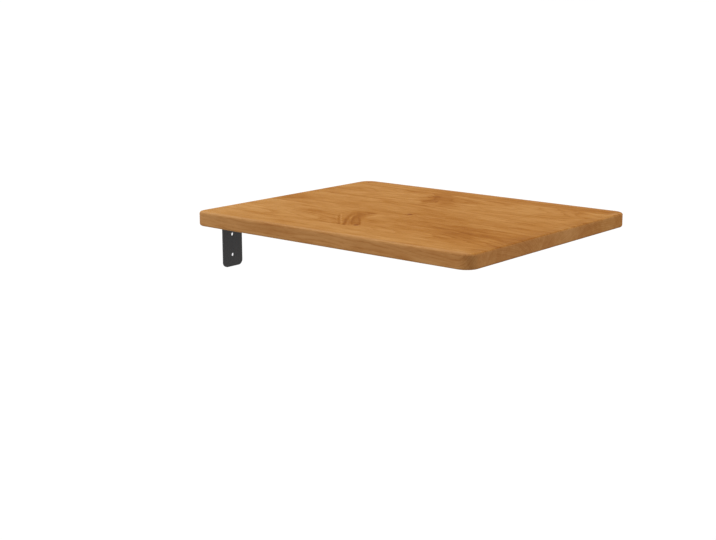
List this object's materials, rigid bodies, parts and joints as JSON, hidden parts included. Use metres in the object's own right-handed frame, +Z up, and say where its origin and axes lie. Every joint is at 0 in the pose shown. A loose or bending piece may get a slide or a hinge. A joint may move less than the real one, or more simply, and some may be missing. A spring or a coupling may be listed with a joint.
{
  "type": "floating nightstand",
  "caption": "Solid oak bedside shelf board with rounded corners, held level over a bed's side rail by bent steel brackets underneath.",
  "frame": {"origin": "centre of the four rail screw holes, on the face of the bracket legs that lies against the inner face of the bed's side rail; the top of the rail is 36 mm above it", "axes": "+X along the rail towards the head of the bed, -Y away from the bed towards the board's free edge, +Z up"},
  "size_m": [0.408, 0.5, 0.095],
  "materials": {
    "oak": "oiled, satin",
    "bracket_steel": "fine matt powder coat",
    "insert_steel": "yellow zinc plated",
    "screw_zinc": "zinc plated",
    "felt": "pressed felt"
  },
  "bodies": {
    "root": {"stave_head_edge": "oak", "stave_head_inner": "oak", "stave_middle": "oak", "stave_foot_inner": "oak", "stave_foot_edge": "oak", "bracket_head": "bracket_steel", "bracket_foot": "bracket_steel", "inserts_head": "insert_steel", "inserts_foot": "insert_steel", "screws_head": "screw_zinc", "screws_foot": "screw_zinc", "pad_head": "felt", "pad_foot": "felt"}
  },
  "joints": []
}
